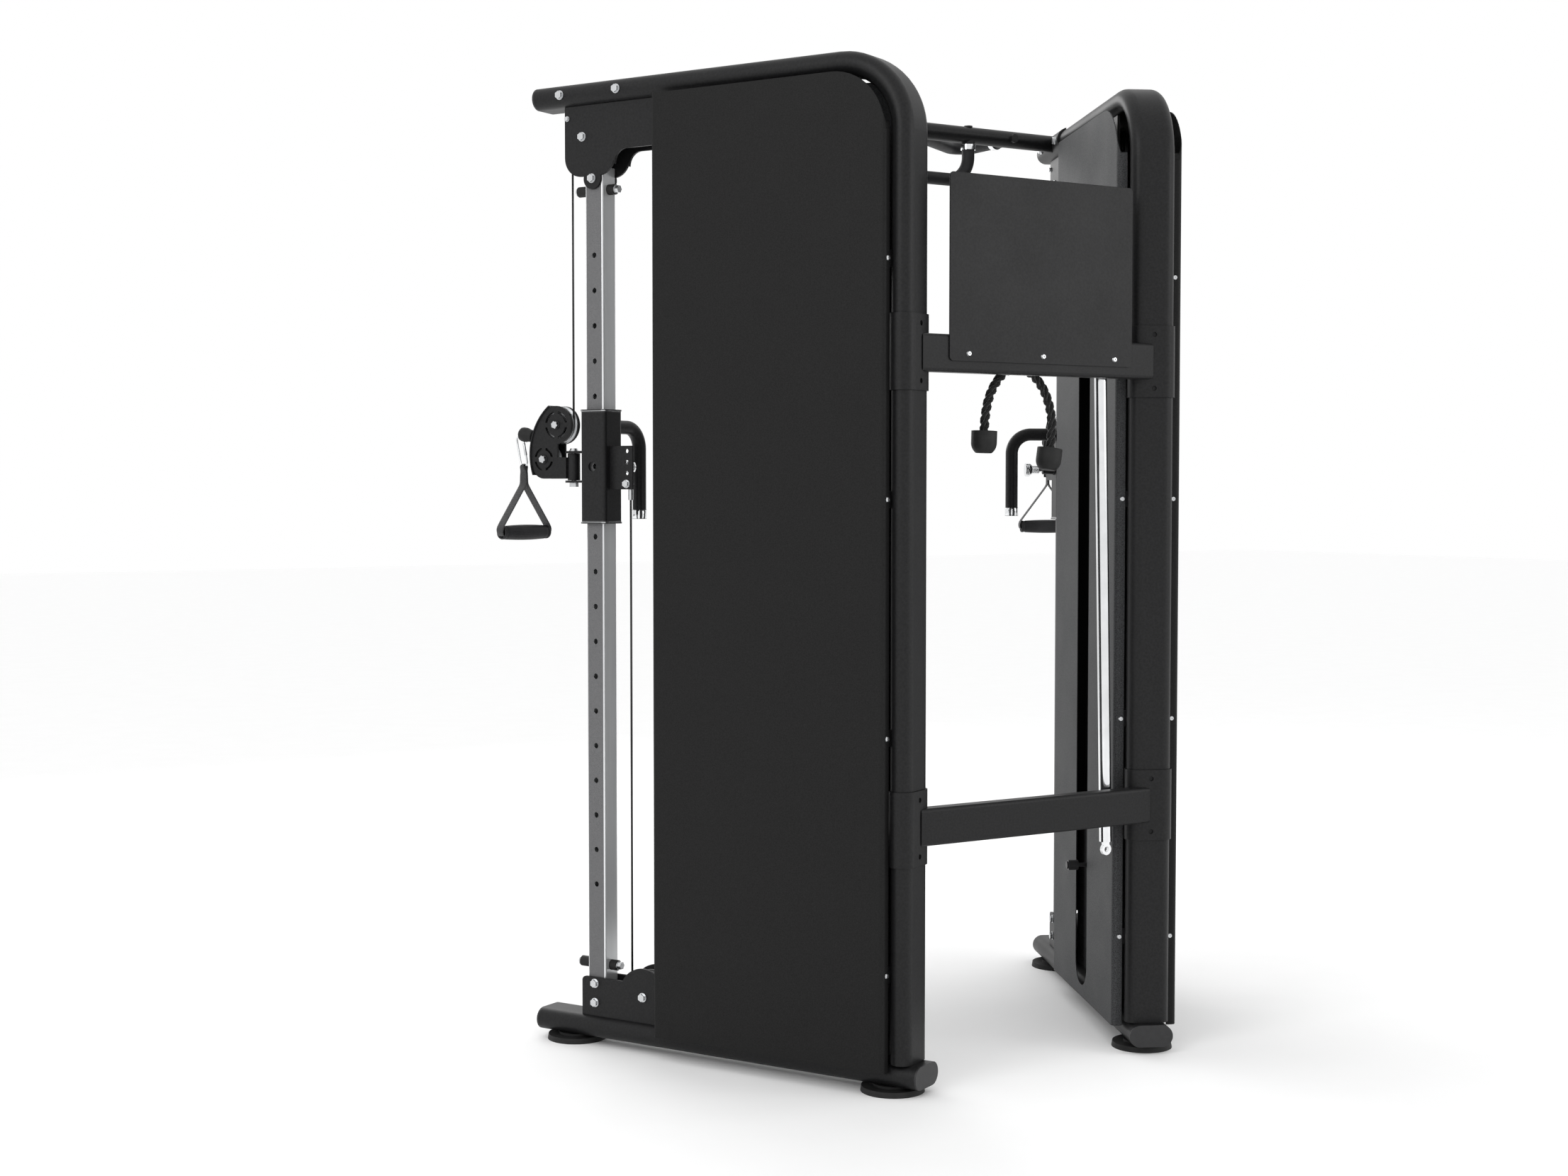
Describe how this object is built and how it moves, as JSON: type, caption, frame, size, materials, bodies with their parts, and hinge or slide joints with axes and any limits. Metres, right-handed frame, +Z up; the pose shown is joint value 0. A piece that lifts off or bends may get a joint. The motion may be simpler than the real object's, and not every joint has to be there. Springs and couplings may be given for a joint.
{
  "type": "functional trainer",
  "caption": "Free-standing functional trainer: two splayed cable towers with adjustable pulley carriages, shrouded weight stacks, pull-up bar and hung accessories.",
  "frame": {"origin": "centre of the overall box, on the floor", "axes": "+Z up, -Y towards the user in front of the machine, +X to the machine's right-hand tower as seen from the back"},
  "size_m": [1.7239, 1.0358, 2.2053],
  "materials": {
    "frame_paint": "satin powder coat, fine orange peel",
    "shroud_paint": "fine textured powder coat",
    "inner_shroud_paint": "fine textured powder coat, lighter",
    "plate_paint": "matt hammertone paint",
    "column_metal": "satin plating with bright corners",
    "zinc_metal": "bright zinc plating",
    "chrome_metal": "polished",
    "black_rubber": "matt",
    "grip_rubber": "semi-matt",
    "black_plastic": "satin moulded",
    "cap_plastic": "satin moulded",
    "webbing": "woven nylon",
    "rope_nylon": "twisted three-strand",
    "cable_jacket": "smooth jacket"
  },
  "bodies": {
    "frame": {"frame_tubes": "frame_paint", "base_rails": "frame_paint", "tube_end_caps": "cap_plastic", "rubber_feet": "black_rubber", "upright_collars": "frame_paint", "cross_members": "frame_paint", "accessory_board": "frame_paint", "button_screws": "zinc_metal", "outer_shrouds": "shroud_paint", "inner_shrouds": "inner_shroud_paint", "guide_columns": "column_metal", "top_brackets": "frame_paint", "bottom_brackets": "frame_paint", "column_stops": "black_rubber", "frame_bolts": "zinc_metal", "pull_up_bar": "frame_paint", "pull_up_grips": "grip_rubber", "grip_collars": "chrome_metal", "guide_rods": "chrome_metal", "weight_plates": "plate_paint", "stack_cushions": "black_rubber", "straight_bar": "chrome_metal", "triceps_rope": "rope_nylon", "rope_fittings": "black_rubber", "cable_right": "cable_jacket", "cable_left": "cable_jacket"},
    "carriage_body_right": {"carriage_right": "frame_paint", "carriage_hardware_right": "zinc_metal", "grip_handle_right": "frame_paint"},
    "pop_pin_body_right": {"pop_pin_right": "chrome_metal"},
    "arm_body_right": {"swivel_arm_right": "frame_paint"},
    "upper_wheel_right": {"arm_pulley_upper_right": "black_plastic"},
    "lower_wheel_right": {"arm_pulley_lower_right": "black_plastic"},
    "handle_body_right": {"cable_end_right": "chrome_metal", "handle_strap_right": "webbing", "handle_grip_right": "grip_rubber"},
    "stack_body_right": {"lifted_stack_right": "plate_paint"},
    "selector_body_right": {"selector_pin_right": "black_plastic"},
    "front_pulley_body_right": {"front_pulley_right": "black_plastic"},
    "rear_pulley_body_right": {"rear_pulley_right": "black_plastic"},
    "stack_pulley_body_right": {"stack_pulley_right": "black_plastic"},
    "return_pulley_body_right": {"return_pulley_right": "black_plastic"},
    "low_pulley_body_right": {"low_pulley_right": "black_plastic"},
    "carriage_body_left": {"carriage_left": "frame_paint", "carriage_hardware_left": "zinc_metal", "grip_handle_left": "frame_paint"},
    "pop_pin_body_left": {"pop_pin_left": "chrome_metal"},
    "arm_body_left": {"swivel_arm_left": "frame_paint"},
    "upper_wheel_left": {"arm_pulley_upper_left": "black_plastic"},
    "lower_wheel_left": {"arm_pulley_lower_left": "black_plastic"},
    "handle_body_left": {"cable_end_left": "chrome_metal", "handle_strap_left": "webbing", "handle_grip_left": "grip_rubber"},
    "stack_body_left": {"lifted_stack_left": "plate_paint"},
    "selector_body_left": {"selector_pin_left": "black_plastic"},
    "front_pulley_body_left": {"front_pulley_left": "black_plastic"},
    "rear_pulley_body_left": {"rear_pulley_left": "black_plastic"},
    "stack_pulley_body_left": {"stack_pulley_left": "black_plastic"},
    "return_pulley_body_left": {"return_pulley_left": "black_plastic"},
    "low_pulley_body_left": {"low_pulley_left": "black_plastic"}
  },
  "joints": [
    {"name": "carriage_height_right", "type": "slide", "parent": "frame", "child": "carriage_body_right", "axis": [0, 0, 1], "range_m": [-0.96, 0.48], "deforming": ["cable_right"]},
    {"name": "pop_pin_pull_right", "type": "slide", "parent": "carriage_body_right", "child": "pop_pin_body_right", "axis": [-0.8988, -0.4384, 0], "range_m": [0, 0.018], "stiffness_N_per_m": 800, "springref_m": -0.01},
    {"name": "arm_swivel_right", "type": "hinge", "parent": "carriage_body_right", "child": "arm_body_right", "pos_m": [0.71964, -0.33874, 1.3315], "axis": [0, 0, 1], "range_deg": [-70, 70]},
    {"name": "upper_wheel_spin_right", "type": "hinge", "parent": "arm_body_right", "child": "upper_wheel_right", "pos_m": [0.73652, -0.37334, 1.4285], "axis": [0.8988, 0.4384, 0], "continuous": true},
    {"name": "lower_wheel_spin_right", "type": "hinge", "parent": "arm_body_right", "child": "lower_wheel_right", "pos_m": [0.75252, -0.40615, 1.3495], "axis": [0.8988, 0.4384, 0], "continuous": true},
    {"name": "handle_pull_right", "type": "slide", "parent": "arm_body_right", "child": "handle_body_right", "axis": [0.4317, -0.8851, 0.1736], "range_m": [0, 2.4]},
    {"name": "stack_lift_right", "type": "slide", "parent": "frame", "child": "stack_body_right", "axis": [0, 0, 1], "range_m": [0, 1.2]},
    {"name": "selector_pull_right", "type": "slide", "parent": "stack_body_right", "child": "selector_body_right", "axis": [-0.8988, -0.4384, 0], "range_m": [0, 0.09]},
    {"name": "front_pulley_spin_right", "type": "hinge", "parent": "frame", "child": "front_pulley_body_right", "pos_m": [0.69685, -0.292, 2.0795], "axis": [0.8988, 0.4384, 0], "continuous": true},
    {"name": "rear_pulley_spin_right", "type": "hinge", "parent": "frame", "child": "rear_pulley_body_right", "pos_m": [0.47109, 0.17088, 2.0795], "axis": [0.8988, 0.4384, 0], "continuous": true},
    {"name": "stack_pulley_spin_right", "type": "hinge", "parent": "stack_body_right", "child": "stack_pulley_body_right", "pos_m": [0.47109, 0.17088, 0.593], "axis": [0.8988, 0.4384, 0], "continuous": true},
    {"name": "return_pulley_spin_right", "type": "hinge", "parent": "frame", "child": "return_pulley_body_right", "pos_m": [0.51668, 0.07741, 2.022], "axis": [0.8988, 0.4384, 0], "continuous": true},
    {"name": "low_pulley_spin_right", "type": "hinge", "parent": "frame", "child": "low_pulley_body_right", "pos_m": [0.62583, -0.14639, 0.126], "axis": [0.8988, 0.4384, 0], "continuous": true},
    {"name": "carriage_height_left", "type": "slide", "parent": "frame", "child": "carriage_body_left", "axis": [0, 0, 1], "range_m": [-0.96, 0.48], "deforming": ["cable_left"]},
    {"name": "pop_pin_pull_left", "type": "slide", "parent": "carriage_body_left", "child": "pop_pin_body_left", "axis": [0.8988, -0.4384, 0], "range_m": [0, 0.018], "stiffness_N_per_m": 800, "springref_m": -0.01},
    {"name": "arm_swivel_left", "type": "hinge", "parent": "carriage_body_left", "child": "arm_body_left", "pos_m": [-0.71964, -0.33874, 1.3315], "axis": [0, 0, 1], "range_deg": [-70, 70]},
    {"name": "upper_wheel_spin_left", "type": "hinge", "parent": "arm_body_left", "child": "upper_wheel_left", "pos_m": [-0.73652, -0.37334, 1.4285], "axis": [-0.8988, 0.4384, 0], "continuous": true},
    {"name": "lower_wheel_spin_left", "type": "hinge", "parent": "arm_body_left", "child": "lower_wheel_left", "pos_m": [-0.75252, -0.40615, 1.3495], "axis": [-0.8988, 0.4384, 0], "continuous": true},
    {"name": "handle_pull_left", "type": "slide", "parent": "arm_body_left", "child": "handle_body_left", "axis": [-0.4317, -0.8851, 0.1736], "range_m": [0, 2.4]},
    {"name": "stack_lift_left", "type": "slide", "parent": "frame", "child": "stack_body_left", "axis": [0, 0, 1], "range_m": [0, 1.2]},
    {"name": "selector_pull_left", "type": "slide", "parent": "stack_body_left", "child": "selector_body_left", "axis": [0.8988, -0.4384, 0], "range_m": [0, 0.09]},
    {"name": "front_pulley_spin_left", "type": "hinge", "parent": "frame", "child": "front_pulley_body_left", "pos_m": [-0.69685, -0.292, 2.0795], "axis": [-0.8988, 0.4384, 0], "continuous": true},
    {"name": "rear_pulley_spin_left", "type": "hinge", "parent": "frame", "child": "rear_pulley_body_left", "pos_m": [-0.47109, 0.17088, 2.0795], "axis": [-0.8988, 0.4384, 0], "continuous": true},
    {"name": "stack_pulley_spin_left", "type": "hinge", "parent": "stack_body_left", "child": "stack_pulley_body_left", "pos_m": [-0.47109, 0.17088, 0.593], "axis": [-0.8988, 0.4384, 0], "continuous": true},
    {"name": "return_pulley_spin_left", "type": "hinge", "parent": "frame", "child": "return_pulley_body_left", "pos_m": [-0.51668, 0.07741, 2.022], "axis": [-0.8988, 0.4384, 0], "continuous": true},
    {"name": "low_pulley_spin_left", "type": "hinge", "parent": "frame", "child": "low_pulley_body_left", "pos_m": [-0.62583, -0.14639, 0.126], "axis": [-0.8988, 0.4384, 0], "continuous": true}
  ],
  "couplings": [
    {"joint": "handle_pull_right", "follows": "stack_lift_right", "ratio": 2},
    {"joint": "handle_pull_left", "follows": "stack_lift_left", "ratio": 2}
  ]
}
